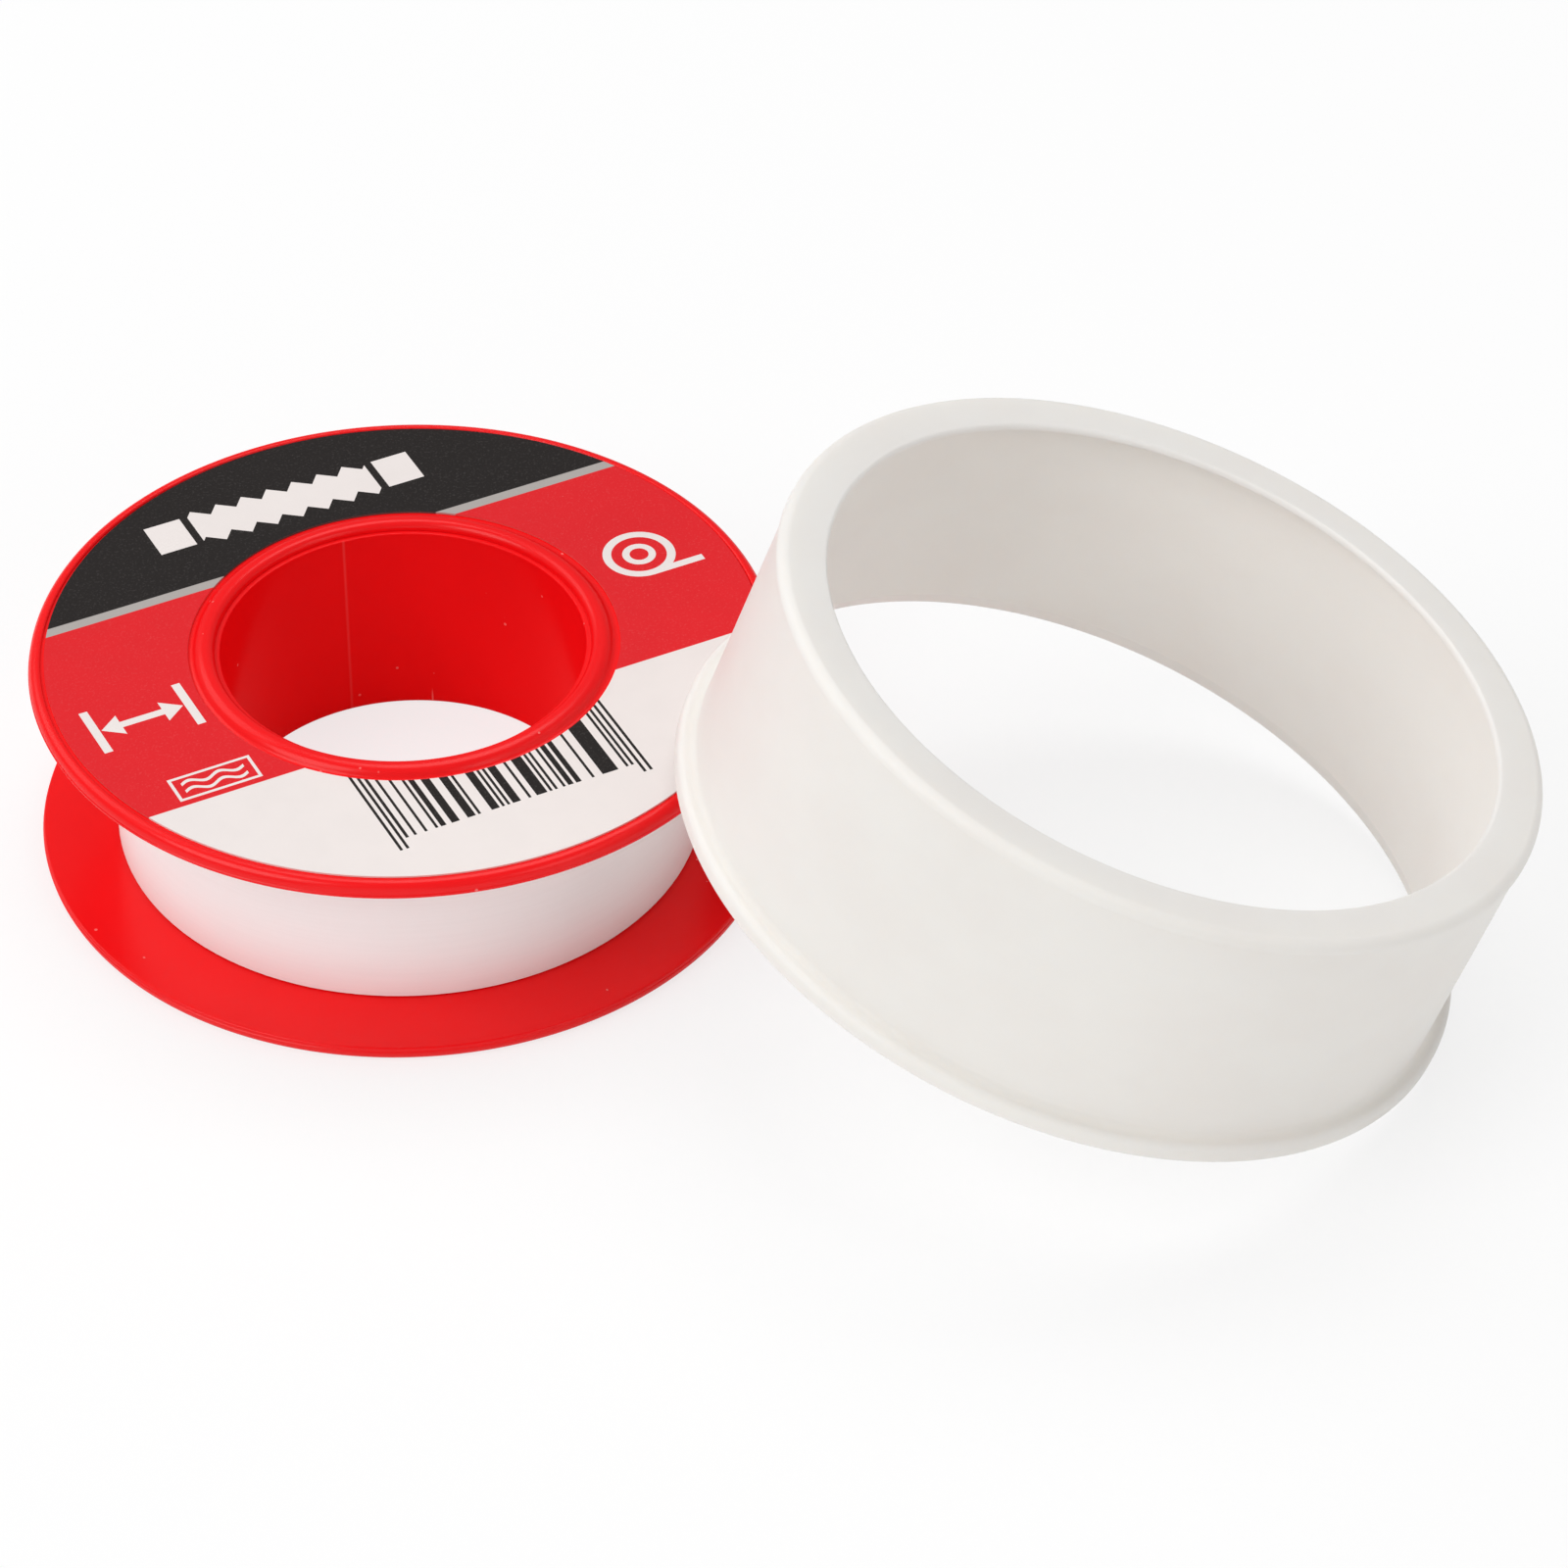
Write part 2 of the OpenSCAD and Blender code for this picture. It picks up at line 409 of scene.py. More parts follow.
def clinging_dust(finish, point, in_bore):
    """Round lint all over, upright fibres in the bore and slanted ones everywhere."""
    lint = finish.specks(point, **lint_specks)
    fibre = finish.specks(finish.stretch(point, fibre_stretch), **fibre_specks) * in_bore
    sockets = {"Vector": point, "Rotation": slant_turn}
    turned = finish.node("ShaderNodeVectorRotate", {"rotation_type": "EULER_XYZ"}, sockets)
    slanted = finish.specks(finish.stretch(turned, slant_stretch), **slant_specks)
    return (lint | fibre | slanted) * dust_share


print("lint of", lint_specks["size"], "mm, fibres of", fibre_specks["size"], "mm")

# %% Line down the bore
bore_line_turn = math.radians(111)
bore_line_w = 0.16


def line_down_bore(x, y, in_bore):
    """A narrow upright line at one place of the bore, left by the mould."""
    along_line = x * math.sin(bore_line_turn) - y * math.cos(bore_line_turn)
    line_side = x * math.cos(bore_line_turn) + y * math.sin(bore_line_turn) > 0
    return (1 - abs(along_line).above(bore_line_w / 2, bore_line_w)) * line_side * in_bore


print("line", bore_line_w, "mm wide at", round(math.degrees(bore_line_turn)), "degrees")

# %% Red plastic finish
red_chart = linear(247, 17, 22)
deep_red_chart = linear(243, 15, 20)
lint_chart = linear(250, 128, 124)
red_cloud = {"scale": 0.12, "detail": 3.0}
red_cloud_step = {"edge": 0.5, "blur": 0.5}
bore_skin = 0.06
bore_line_share = 0.2
red_peel = {"scale": 1.1, "detail": 2.0}
red_rub = {"scale": 2.2, "detail": 4.0, "rough": 0.65}
red_rub_stretch = (0.5, 0.5, 2.5)
red_height_shares = {"peel": 0.6, "rub": 0.15, "line": 0.8}
red_depth = 0.006
red_roughness = {"plain": 0.24, "rub": 0.14, "dust": 0.3}
coat_shares = {"plain": 0.48, "less_in_bore": 0.38}


def red_plastic(name):
    finish = Finish(name)
    point = finish.place()
    x, y = finish.axes(point)[:2]
    in_bore = 1 - finish.length(x, y).above(bore_r / MM + bore_skin, bore_skin)
    dust = clinging_dust(finish, point, in_bore)
    bore_line = line_down_bore(x, y, in_bore)

    cloud = finish.grain(point, **red_cloud)
    base = finish.blend(cloud.above(**red_cloud_step), red_chart, deep_red_chart)
    base = finish.blend(dust, base, lint_chart)
    base = finish.blend(bore_line * bore_line_share, base, lint_chart)

    peel = finish.grain(point, **red_peel)
    rub = finish.grain(finish.stretch(point, red_rub_stretch), **red_rub)
    height = peel * red_height_shares["peel"] + rub * red_height_shares["rub"]
    height = height + bore_line * red_height_shares["line"]
    roughness = red_roughness["plain"] + rub * red_roughness["rub"] + dust * red_roughness["dust"]
    return finish.surface(
        base_color=base,
        roughness=roughness,
        normal=finish.bump(height, red_depth),
        specular_ior_level=0.0,
        coat_weight=coat_shares["plain"] - in_bore * coat_shares["less_in_bore"],
        coat_roughness=0.24,
    )


lower_plastic = red_plastic("red_plastic_lower")
upper_plastic = red_plastic("red_plastic_upper")

# %% [markdown]
# Lower half of the spool
#
# This half is a flange with the core tube on it. The tube is thick below, where the tape starts, and
# thins by half its wall higher up, where the sleeve of the other half grips it. Its end shows from above
# as a narrow ledge inside the upper collar. The mould's line round the flange's edge could be a bump, but
# it shows at the outline, so it is turned with the rest as a very small ridge.

# %% Lower half
bore_foot_round = 0.4 * MM
foot_round = 0.15 * MM
tube_end_round = 0.1 * MM


def rim_corners(low, away):
    """Corners of a flange's outer edge, from the side away from the tape to the side of the tape."""
    line = low + away * mould_line_z
    return [
        (flange_r, low, rim_round),
        (flange_r, line - away * mould_line, 0),
        (flange_r + mould_line, line, 0),
        (flange_r, line + away * mould_line, 0),
        (flange_r, low + away * flange_t, face_round),
    ]


lower_half = lathe(
    "spool_lower_half_moulded",
    [
        (bore_r, 0, bore_foot_round),
        (collar_r, 0, foot_round),
        (collar_r, recess_depth, 0),
        (rim_in_r, recess_depth, 0),
        (rim_in_r, 0, rim_in_round),
        *rim_corners(0, 1),
        (core_r, flange_t, 0),
        (core_r, sleeve_foot - seat_gap, 0),
        (joint_r - seat_gap, sleeve_foot - seat_gap, 0),
        (joint_r - seat_gap, tube_top, 0),
        (bore_r, tube_top, tube_end_round),
    ],
    lower_plastic,
)
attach(lower_half, "spool")
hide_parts("spool_lower_half")

# %% [markdown]
# Upper half of the spool
#
# The upper flange has a shallow recess for the label and a raised collar round the bore. The collar is
# rounded inside, so that a finger turns in it easily, and slopes down to the label outside. Below the
# flange hangs the sleeve that closes over the tube.

# %% Upper half
collar_bore_round = 0.54 * MM
collar_spread = 0.3 * MM
collar_draw = 0.1 * MM
collar_foot_round = 0.45 * MM
collar_top_round = 0.85 * MM

upper_half = lathe(
    "spool_upper_half_moulded",
    [
        (collar_bore_r, collar_top, collar_bore_round),
        (collar_bore_r, tube_top + seat_gap, 0),
        (joint_r, tube_top + seat_gap, 0),
        (joint_r, sleeve_foot, 0),
        (core_r, sleeve_foot, 0),
        (core_r, upper_face, 0),
        *reversed(rim_corners(rim_top, -1)),
        (rim_in_r, rim_top, rim_in_round),
        (rim_in_r, label_z, 0),
        (collar_r + collar_spread, label_z, collar_foot_round),
        (collar_r - collar_draw, collar_top, collar_top_round),
    ],
    upper_plastic,
)
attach(upper_half, "spool")
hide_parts("spool_upper_half")

# %% [markdown]
# White tape
#
# Thread seal tape is unsintered fluoropolymer film: soft, white and silky, with faint streaks along its
# length from the rollers that stretch it. The streaks are noise squeezed in the direction across the
# tape, and a weak sheen stands for the silky look.

# %% White tape finish
tape_chart = linear(251, 253, 252)
tape_shade_chart = linear(246, 248, 247)
streak_stretch = (0.12, 0.12, 5.0)
streak_grain = {"scale": 1.0, "detail": 4.0, "rough": 0.6}
streak_step = {"edge": 0.52, "blur": 0.3}
streak_share = 0.35
press_stretch = (0.3, 0.3, 0.12)
press_grain = {"scale": 1.0, "detail": 2.0}
weave_grain = {"scale": 9.0, "detail": 2.0}
tape_height_shares = {"streak": 0.14, "press": 0.5, "weave": 0.1}
tape_depth = 0.02
tape_roughness = {"plain": 0.42, "streak": 0.08}


def white_tape(name):
    finish = Finish(name)
    point = finish.place()
    streak = finish.grain(finish.stretch(point, streak_stretch), **streak_grain)
    press = finish.grain(finish.stretch(point, press_stretch), **press_grain)
    weave = finish.grain(point, **weave_grain)
    base = finish.blend(streak.above(**streak_step) * streak_share, tape_chart, tape_shade_chart)
    height = streak * tape_height_shares["streak"] + press * tape_height_shares["press"]
    height = height + weave * tape_height_shares["weave"]
    return finish.surface(
        base_color=base,
        roughness=tape_roughness["plain"] + streak * tape_roughness["streak"],
        normal=finish.bump(height, tape_depth),
        specular_ior_level=0.35,
        sheen_weight=0.15,
        sheen_roughness=0.4,
    )


tape_film = white_tape("white_tape")

# %% [markdown]
# The winding
#
# A cylinder would look right from here, but the roll is really one strip of seven metres in about
# sixty-six turns. The strip is swept along a spiral whose pitch is the tape's thickness, so the roll
# ends in a true step on the far side. Each turn wanders a little sideways, as wound tape does, within the
# play between the flanges.

# %% Wound tape
TURN_STEPS = 120
TAPE_GAP_SHARE = 0.06
tape_length = 7000 * MM
tape_in_r = core_r + seat_gap
tape_pitch = math.pi * (roll_r ** 2 - tape_in_r ** 2) / tape_length
tape_turns = (roll_r - tape_in_r) / tape_pitch
tape_gap = TAPE_GAP_SHARE * tape_pitch
end_turn = math.radians(90)
wander = 0.07 * MM
wander_pace = 0.83
wander_start = 4.2


def wound_strip(name, finish):
    """One strip from the core outwards, ending at the end turn, with four points in each section."""
    steps = int(tape_turns * TURN_STEPS)
    points = []
    for step in range(steps + 1):
        turns = step / TURN_STEPS
        angle = end_turn + 2 * math.pi * (turns - steps / TURN_STEPS)
        inner = tape_in_r + tape_pitch * turns
        outer = inner + tape_pitch - tape_gap
        lift = wander * noise.noise(Vector((turns * wander_pace, wander_start, 0.0)))
        section = [(inner, roll_foot), (outer, roll_foot), (outer, roll_top), (inner, roll_top)]
        for radius, height in section:
            points.append((radius * math.cos(angle), radius * math.sin(angle), height + lift))
    count = len(section)
    faces = [tuple(range(count))]
    for step in range(steps):
        faces += bridge(step * count, (step + 1) * count, count)
    faces.append(tuple(reversed(range(steps * count, (steps + 1) * count))))
    return new_piece(name, points, faces, finish)


tape = wound_strip("wound_tape", tape_film)
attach(tape, "spool")
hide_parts("tape_roll")
print(f"tape {tape_pitch / MM:.4f} mm thick in {tape_turns:.1f} turns")

# %% [markdown]
# Printed label
#
# The label is a die-cut paper ring. Its print is a few straight fields across the ring and some plain
# signs: a thread's saw-tooth, a width arrow, a roll with its free end, water and a row of bars. A picture
# could be laid on it, but all of it is worked out from the place on the paper, in millimetres along and
# across the print, so it stays sharp at any size.

# %% Signs of thread and width
PRINT_TURN = math.radians(26)


def box_mask(along, across, half_along, half_across):
    return (abs(along) < half_along) * (abs(across) < half_across)


def thread_sign(along, across):
    """A pipe end seen from the side: thread crests in the middle and plain pipe on both sides."""
    pitch = 1.9
    half_pitch = 0.5
    half_count = 3.5
    slant = 0.14
    root_half = 1.1
    crest_h = 0.9
    pipe_half = 1.6
    pipe_gap = 0.55
    pipe_reach = 3.2
    thread_end = half_count * pitch
    side = abs(along)
    helix = along / pitch + across * slant
    saw = abs(helix.fraction() - half_pitch) / half_pitch
    thread = (abs(across) < root_half + saw * crest_h) * (side < thread_end)
    pipe_ends = (side > thread_end + pipe_gap) * (side < thread_end + pipe_reach)
    return thread | (abs(across) < pipe_half) * pipe_ends


def width_sign(along, across):
    """Two edge bars with an arrow between them that points both ways."""
    line_half = 0.3
    bar_place = 3.3
    bar_half = 2.3
    shaft_half = 2.0
    head_foot = 1.5
    head_tip = 2.9
    head_slope = 0.75
    side = abs(along)
    bars = box_mask(side - bar_place, across, line_half, bar_half)
    shaft = box_mask(along, across, shaft_half, line_half)
    head = abs(across) < (head_tip - side) * head_slope
    return bars | shaft | (side > head_foot) * (side < head_tip) * head


print("print turned by", round(math.degrees(PRINT_TURN)), "degrees")

# %% Signs of roll, water and bars
BARE_SHARE = 0.46


def roll_sign(finish, along, across):
    """A roll seen from its end, with the tape running off it."""
    roll_sign_r = 2.2
    line_half = 0.3
    hole_sign_r = 0.9
    hole_line_half = 0.25
    tail_half = 1.9
    radius = finish.length(along, across)
    rings = (abs(radius - roll_sign_r) < line_half) | (abs(radius - hole_sign_r) < hole_line_half)
    tail = box_mask(along - tail_half, across + roll_sign_r, tail_half, line_half)
    return rings | tail


def water_sign(finish, along, across):
    """A frame with two waves in it."""
    half_w = 2.9
    half_h = 1.2
    line_w = 0.22
    wave_pace = 2.9
    wave_h = 0.22
    wave_place = 0.38
    wave_line_half = 0.14
    wave_reach = 2.2
    outside = box_mask(along, across, half_w, half_h)
    inside = box_mask(along, across, half_w - line_w, half_h - line_w)
    wave = finish.math("SINE", along * wave_pace) * wave_h
    upper_wave = abs(across - wave_place - wave) < wave_line_half
    lower_wave = abs(across + wave_place - wave) < wave_line_half
    waves = (upper_wave | lower_wave) * (abs(along) < wave_reach)
    return (outside - inside) | waves


def bar_sign(finish, along, across):
    """A row of bars of uneven width, dark or bare by chance in each narrow column."""
    column_w = 0.19
    chance_pace = 0.731
    chance_start = 11.0
    row_half = 8.2
    row_foot = -18.4
    guard_places = (8.95, 8.5)
    guard_half = 0.1
    guard_foot = -19.4
    sockets = {"W": (along / column_w).whole() * chance_pace + chance_start}
    chance = finish.node("ShaderNodeTexWhiteNoise", {"noise_dimensions": "1D"}, sockets)
    side = abs(along)
    bars = (chance > BARE_SHARE) * (side < row_half) * (across > row_foot)
    outer, inner = [abs(side - place) < guard_half for place in guard_places]
    return bars | (outer | inner) * (across > guard_foot)


print("share of bare columns in the bars", BARE_SHARE)

# %% Inks on the label
ink_black_chart = linear(36, 32, 31)
ink_silver_chart = linear(176, 170, 166)
ink_red_chart = linear(226, 34, 41)
paper_chart = linear(238, 230, 227)
PRINT_BLUR = 0.05
black_edge = 12.2
silver_edge = 11.4
white_edge = -9.0
bar_gap = 0.6
bar_top = white_edge - bar_gap
thread_place = (-0.8, 17.9)
width_place = (-18.6, 0.6)
roll_place = (18.4, 1.6)
water_place = (-16.8, -7.3)


def printed_ink(finish, x, y):
    """Colour of the print: straight fields, bare signs on them, and dark bars on the bare paper."""
    along = x * math.cos(PRINT_TURN) + y * math.sin(PRINT_TURN)
    across = y * math.cos(PRINT_TURN) - x * math.sin(PRINT_TURN)

    def seen_from(place):
        return along - place[0], across - place[1]

    ink = finish.blend(across.above(white_edge, PRINT_BLUR), paper_chart, ink_red_chart)
    ink = finish.blend(across.above(silver_edge, PRINT_BLUR), ink, ink_silver_chart)
    ink = finish.blend(across.above(black_edge, PRINT_BLUR), ink, ink_black_chart)
    signs = thread_sign(*seen_from(thread_place)) | width_sign(*seen_from(width_place))
    signs = signs | roll_sign(finish, *seen_from(roll_place))
    signs = signs | water_sign(finish, *seen_from(water_place))
    ink = finish.blend(signs, ink, paper_chart)
    bars = bar_sign(finish, along, across) * (across < bar_top)
    return finish.blend(bars, ink, ink_black_chart)


print("fields change at", black_edge, silver_edge, white_edge, "mm from the middle")

# %% Label finish
# Painted shade: a grey mixed into the paper's cut edges, the faces that don't look up.
cut_edge_shade_chart = linear(206, 196, 192)
cut_edge_shade_share = 0.15
upward_step = {"edge": 0.5, "blur": 0.2}
paper_fibre = {"scale": 6.0, "detail": 3.0, "rough": 0.6}
paper_fibre_step = {"edge": 0.62, "blur": 0.2}
paper_fibre_share = 0.03
paper_tint = {"scale": 0.35, "detail": 2.0}
paper_tint_step = {"edge": 0.55, "blur": 0.4}
paper_tint_share = 0.02
paper_specks = {"spacing": 2.6, "size": 0.06, "share": 0.12}
paper_speck_share = 0.45
paper_depth = 0.006
paper_roughness = {"plain": 0.5, "fibre": 0.12}


def label_print(name):
    finish = Finish(name)
    point = finish.place()
    x, y = finish.axes(point)[:2]
    ink = printed_ink(finish, x, y)

    fibre = finish.grain(point, **paper_fibre)
    tint = finish.grain(point, **paper_tint)
    dust = finish.specks(point, **paper_specks)
    ink = finish.blend(fibre.above(**paper_fibre_step) * paper_fibre_share, ink, paper_chart)
    ink = finish.blend(tint.above(**paper_tint_step) * paper_tint_share, ink, ink_black_chart)
    ink = finish.blend(dust * paper_speck_share, ink, paper_chart)

    # Faces that don't look up, the cut edges of the paper, get a share of grey as painted shade.
    upward = finish.axes(finish.node("ShaderNodeNewGeometry", out="Normal"))[2]
    shaded_cut_edge = finish.blend(cut_edge_shade_share, ink, cut_edge_shade_chart)
    return finish.surface(
        base_color=finish.blend(upward.above(**upward_step), shaded_cut_edge, ink),
        roughness=paper_roughness["plain"] + fibre * paper_roughness["fibre"],
        normal=finish.bump(fibre, paper_depth),
        specular_ior_level=0.12,
    )


printed_paper = label_print("label_print")

# %% [markdown]
# Paper ring
#
# The paper is cut from a flat sheet, so the ring is flat, but paper never lies perfectly still: it lifts
# by a few hundredths of a millimetre here and there. A plain disc has no points inside to lift, so a grid
# of rings and spokes carries that slight wave.

# %% Label ring
LABEL_RINGS = 14
label_hole_gap = 0.68 * MM
label_edge_gap = 0.05 * MM
label_hole_r = collar_r + label_hole_gap
label_out_r = label_r - label_edge_gap
label_shift = Vector((0.08, 0.12, 0.0)) * MM
label_wave = 0.018 * MM
wave_turn_pace = 1.7
wave_length = 6 * MM


def paper_ring(name, finish):
    """A flat ring whose sections run outwards along the underside and back along the waved top."""
    points = []
    faces = []
    for step in range(LATHE_STEPS):
        turn = 2 * math.pi * step / LATHE_STEPS
        spoke = Vector((math.cos(turn), math.sin(turn), 0.0))
        section = [(label_hole_r, label_z), (label_out_r, label_z)]
        for ring in reversed(range(LABEL_RINGS + 1)):
            radius = label_hole_r + (label_out_r - label_hole_r) * ring / LABEL_RINGS
            wave_place = spoke * wave_turn_pace + Vector((0.0, 0.0, radius / wave_length))
            lift = label_wave * (1 + noise.noise(wave_place))
            section.append((radius, label_z + label_t + lift))
        for radius, height in section:
            points.append(spoke * radius + label_shift + Vector((0.0, 0.0, height)))
        count = len(section)
        faces += bridge(step * count, (step + 1) % LATHE_STEPS * count, count)
    return new_piece(name, points, faces, finish)


label = paper_ring("paper_label_printed", printed_paper)
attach(label, "spool")
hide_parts("paper_label")
print(f"label from {2 * label_hole_r / MM:.1f} to {2 * label_out_r / MM:.1f} mm across")

# %% [markdown]
# Milky plastic
#
# The cover ring is uncoloured polypropylene. Light goes a little way into it, so its edges glow and its
# shades are soft, and it takes on the red of the spool beside it. Scattering below the surface, over one
# or two millimetres, gives that. Clouding from the mould's flow and a few dark specks keep it from
# looking like wax.

# %% Milky plastic finish
milk_chart = linear(240, 237, 232)
milk_cloud_chart = linear(238, 234, 229)
speck_chart = linear(96, 92, 88)
milk_cloud_stretch = (0.1, 0.1, 0.16)
milk_cloud = {"scale": 1.0, "detail": 3.0, "rough": 0.55}
milk_cloud_step = {"edge": 0.52, "blur": 0.4}
milk_flow_stretch = (0.5, 0.5, 0.08)
milk_flow = {"scale": 1.0, "detail": 3.0}
milk_specks = {"spacing": 6.5, "size": 0.06, "share": 0.1}
milk_speck_share = 0.7
milk_peel = {"scale": 0.8, "detail": 2.0}
milk_height_shares = {"peel": 0.7, "flow": 0.3}
milk_depth = 0.015
milk_roughness = {"plain": 0.40, "flow": 0.12}
milk_reach = (1.5 * MM, 1.4 * MM, 1.3 * MM)


def milky_plastic(name):
    finish = Finish(name)
    point = finish.place()
    cloud = finish.grain(finish.stretch(point, milk_cloud_stretch), **milk_cloud)
    flow = finish.grain(finish.stretch(point, milk_flow_stretch), **milk_flow)
    specks = finish.specks(point, **milk_specks)
    base = finish.blend(cloud.above(**milk_cloud_step), milk_chart, milk_cloud_chart)
    base = finish.blend(specks * milk_speck_share, base, speck_chart)
    peel = finish.grain(point, **milk_peel)
    height = peel * milk_height_shares["peel"] + flow * milk_height_shares["flow"]
    return finish.surface(
        base_color=base,
        roughness=milk_roughness["plain"] + flow * milk_roughness["flow"],
        normal=finish.bump(height, milk_depth),
        specular_ior_level=0.3,
        subsurface_weight=0.55,
        subsurface_radius=milk_reach,
        subsurface_scale=1.0,
    )


ring_plastic = milky_plastic("milky_plastic")

# %% [markdown]
# Cover ring
#
# The ring is a short wall with a thin flat lip at one end and a bead round its foot, where fingers pull
# it off. Under the lip's outer rounding a small step shows where the sides of the mould met. Inside the
# foot a chamfer leads the ring over the flanges. The ring leans with its foot on the floor and on the
# spool, so its outline is turned in a frame of its own, whose axis is the joint's and whose centre is
# measured on the solid.

# %% Place of the cover ring
cover_axis = Vector(frame["joints"][0]["axis"]).normalized()
cover_side = Vector((0.0, 1.0, 0.0))
cover_ahead = cover_side.cross(cover_axis)
cover_points = [vertex.co for vertex in nodes["cover_ring"].data.vertices]


def span_along(direction):
    places = [direction.dot(point) for point in cover_points]
    return min(places), max(places)


foot_level, top_level = span_along(cover_axis)
ahead_low, ahead_high = span_along(cover_ahead)
side_low, side_high = span_along(cover_side)
cover_h = top_level - foot_level
bead_r = (side_high - side_low) / 2
cover_foot = (
    cover_axis * foot_level
    + cover_ahead * (ahead_low + ahead_high) / 2
    + cover_side * (side_low + side_high) / 2
)
cover_turn = Matrix((cover_ahead, cover_side, cover_axis)).transposed().to_4x4()
print(f"cover ring {2 * bead_r / MM:.1f} mm across and {cover_h / MM:.1f} mm high")

# %% Sizes of the cover ring
bead_w = 0.9 * MM
bead_h = 1.3 * MM
cover_wall = 0.9 * MM
mould_step = 0.16 * MM
top_edge_h = 0.9 * MM
lip_w = 3.25 * MM
lip_t = 0.5 * MM
lead_w = 0.65 * MM
lead_h = 1.2 * MM
wall_out_r = bead_r - bead_w
wall_in_r = wall_out_r - cover_wall
wall_face_r = wall_out_r - mould_step
lip_r = wall_out_r - lip_w

lead_round = 0.1 * MM
bead_foot_round = 0.315 * MM
bead_top_round = 0.45 * MM
bead_hollow_round = 0.55 * MM
step_in_round = 0.03 * MM
step_out_round = 0.05 * MM
top_round = 0.7 * MM
lip_round = 0.25 * MM
lip_under_round = 0.12 * MM
lip_hollow_round = 0.9 * MM
lead_top_round = 0.3 * MM
print(f"wall {cover_wall / MM:.1f} mm thick, opening {2 * lip_r / MM:.1f} mm across")

# %% Cover ring
cover = lathe(
    "cover_ring_moulded",
    [
        (wall_in_r + lead_w, 0, lead_round),
        (bead_r, 0, bead_foot_round),
        (bead_r, bead_h, bead_top_round),
        (wall_face_r, bead_h, bead_hollow_round),
        (wall_face_r, cover_h - top_edge_h, step_in_round),
        (wall_out_r, cover_h - top_edge_h, step_out_round),
        (wall_out_r, cover_h, top_round),
        (lip_r, cover_h, lip_round),
        (lip_r, cover_h - lip_t, lip_under_round),
        (wall_in_r, cover_h - lip_t, lip_hollow_round),
        (wall_in_r, lead_h, lead_top_round),
    ],
    ring_plastic,
)
cover.matrix_world = Matrix.Translation(cover_foot) @ cover_turn
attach(cover, "cover")
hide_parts("cover_ring")

# %% [markdown]
# Floor
#
# The parts lie on a plain pale sheet, a hair below them so that no two faces share a place. It fills the
# view and takes the soft contact shadows that tie the pieces to it. A whiter sheet would need more light,
# which would wash out the pieces. So to the eye and to reflections, but not to the light that it bounces
# back, a share of plain white is mixed in, and far from the parts it is plain white alone.

# %% Pale floor finish
floor_chart = linear(250, 250, 250)
floor_cloud_chart = linear(247, 247, 247)
floor_cloud = {"scale": 0.02, "detail": 2.0}
floor_cloud_step = {"edge": 0.5, "blur": 0.6}
floor_cloud_share = 0.3
floor_roughness = 0.9
floor_gloss = 0.1
FLOOR_WHITE_SHARE = 0.75
FLOOR_FAR = 300.0


def pale_floor(name):
    finish = Finish(name)
    point = finish.place()
    x, y = finish.axes(point)[:2]
    cloud = finish.grain(point, **floor_cloud)
    base = finish.blend(cloud.above(**floor_cloud_step) * floor_cloud_share, floor_chart, floor_cloud_chart)
    sockets = {"Base Color": base, "Roughness": floor_roughness, "Specular IOR Level": floor_gloss}
    sheet = finish.node("ShaderNodeBsdfPrincipled", sockets=sockets, out="BSDF")
    white = finish.node("ShaderNodeEmission", sockets={"Color": WHITE, "Strength": 1.0})
    path = finish.node("ShaderNodeLightPath")
    seen, mirrored, through = path.beside("Is Camera Ray", "Is Glossy Ray", "Is Transmission Ray")
    far = finish.length(x, y).above(FLOOR_FAR, FLOOR_FAR)
    share = FLOOR_WHITE_SHARE + far * (1 - FLOOR_WHITE_SHARE)
    sockets = {0: (seen | mirrored | through) * share, 1: sheet, 2: white}
    return finish.done(finish.node("ShaderNodeMixShader", sockets=sockets))


floor_sheet = pale_floor("pale_floor")

# %% Floor
FLOOR_HALF = 3.0
FLOOR_DROP = 0.01 * MM
floor_corners = [
    (-FLOOR_HALF, -FLOOR_HALF, -FLOOR_DROP),
    (FLOOR_HALF, -FLOOR_HALF, -FLOOR_DROP),
    (FLOOR_HALF, FLOOR_HALF, -FLOOR_DROP),
    (-FLOOR_HALF, FLOOR_HALF, -FLOOR_DROP),
]
floor = new_piece("floor", floor_corners, [(0, 1, 2, 3)], floor_sheet)
print("floor half width", FLOOR_HALF, "m")

# %% [markdown]
# Light
#
# The picture has very soft light: white surfaces facing up, forward and sideways differ by little. An even
# white surrounding gives a good part of it. Large round lamps add direction: the strongest stands at the
# front left, one above and behind lights the insides, weaker ones stand left behind and at the right, and
# a low one in front brightens the tape between the flanges.

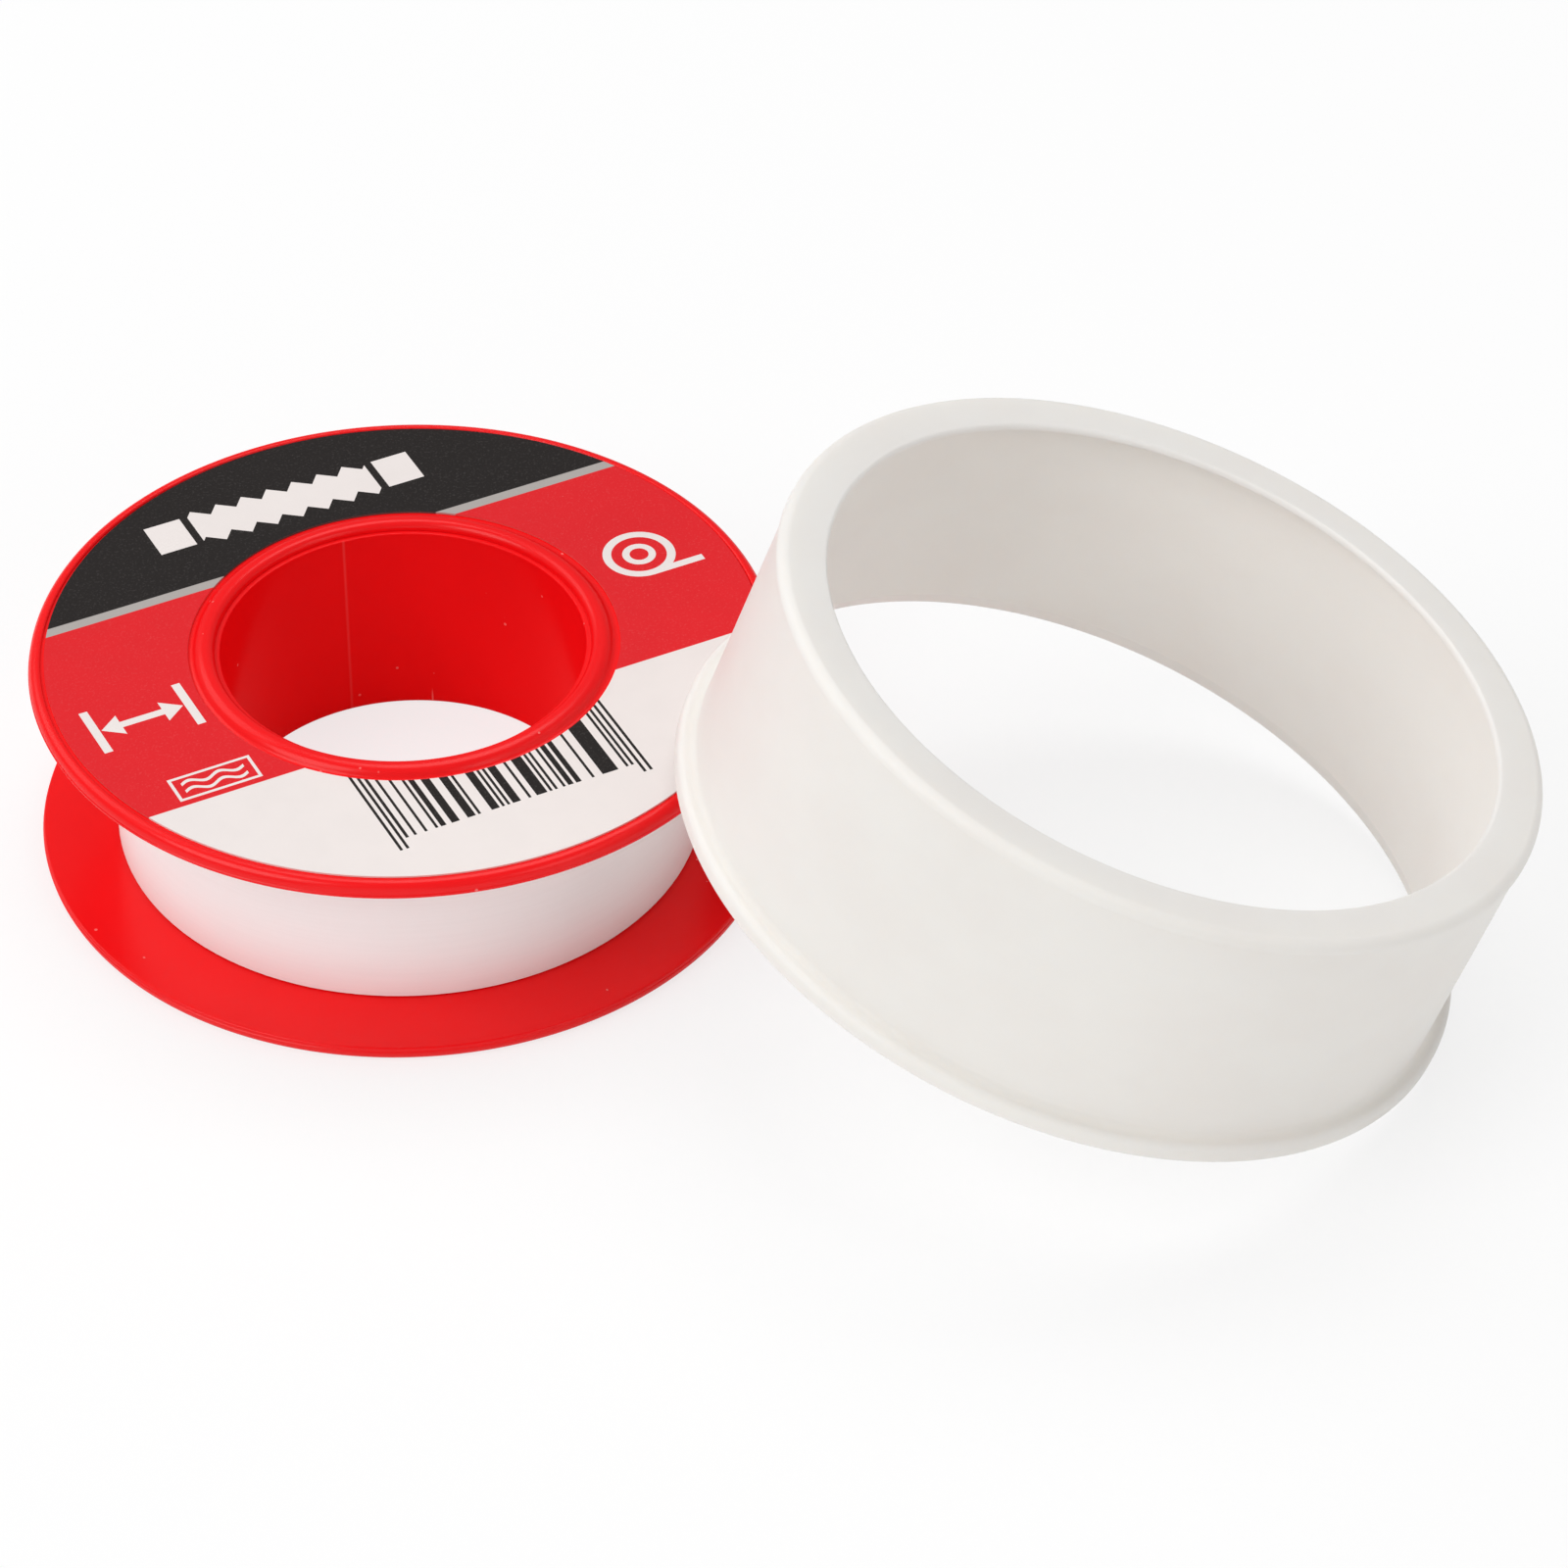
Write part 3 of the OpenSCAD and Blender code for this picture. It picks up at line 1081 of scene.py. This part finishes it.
# %% Surrounding and lamps
view_target = Vector((25.38, -6.73, 8.0)) * MM
surround_strength = 0.37
lamps = {
    "left_lamp": {"place": (-0.60, -0.42, 0.70), "size": 0.7, "power": 3.95},
    "left_back_lamp": {"place": (-0.60, 0.45, 0.65), "size": 0.7, "power": 1.8},
    "top_back_lamp": {"place": (0.10, 0.40, 1.02), "size": 0.7, "power": 3.25},
    "right_lamp": {"place": (0.72, -0.63, 0.48), "size": 0.6, "power": 1.5},
    "front_lamp": {"place": (-0.15, -0.98, 0.20), "size": 0.6, "power": 0.5},
}

world = bpy.data.worlds.new("studio")
bpy.context.scene.world = world
world.use_nodes = True
surround = world.node_tree.nodes["Background"]
surround.inputs["Color"].default_value = WHITE
surround.inputs["Strength"].default_value = surround_strength


def soft_lamp(name, place, size, power):
    """A round lamp at a place in metres, turned to the middle of the view, with its power in watts."""
    lamp = bpy.data.lights.new(name, "AREA")
    lamp.shape = "DISK"
    lamp.size = size
    lamp.energy = power
    holder = bpy.data.objects.new(name, lamp)
    holder.location = place
    holder.rotation_euler = (view_target - Vector(place)).to_track_quat("-Z", "Y").to_euler()
    bpy.context.scene.collection.objects.link(holder)


for lamp_name, lamp_sizes in lamps.items():
    soft_lamp(lamp_name, **lamp_sizes)
print("surrounding", surround_strength, "and", len(lamps), "lamps")

# %% [markdown]
# Camera
#
# Fitting circles to the flange edges and to the ring gave the viewing direction and the lens: a long lens
# from about 40 degrees above, which keeps the ellipses of near and far edges almost alike.

# %% Camera
view_turn = math.radians(1.58)
view_lift = math.radians(39.81)
view_roll = math.radians(-0.345)
view_distance = 397.6 * MM
view_lens = 136.37
view_sensor_w = 36.0

camera = bpy.data.objects.new("camera", bpy.data.cameras.new("camera"))
bpy.context.scene.collection.objects.link(camera)
camera.data.lens = view_lens
camera.data.sensor_width = view_sensor_w
level = math.cos(view_lift)
looking = Vector((math.sin(view_turn) * level, math.cos(view_turn) * level, -math.sin(view_lift)))
camera.location = view_target - looking * view_distance
aim = looking.to_track_quat("-Z", "Y") @ Quaternion((0.0, 0.0, 1.0), -view_roll)
camera.rotation_euler = aim.to_euler()
bpy.context.scene.camera = camera
bpy.context.scene.view_settings.view_transform = "Standard"
print("camera at", [round(part / MM, 1) for part in camera.location], "mm")

# %% [markdown]
# Bringing the scene up to date
#
# Last, the view layer is updated, so that every piece stands where it was placed.

# %% Update the view layer
bpy.context.view_layer.update()
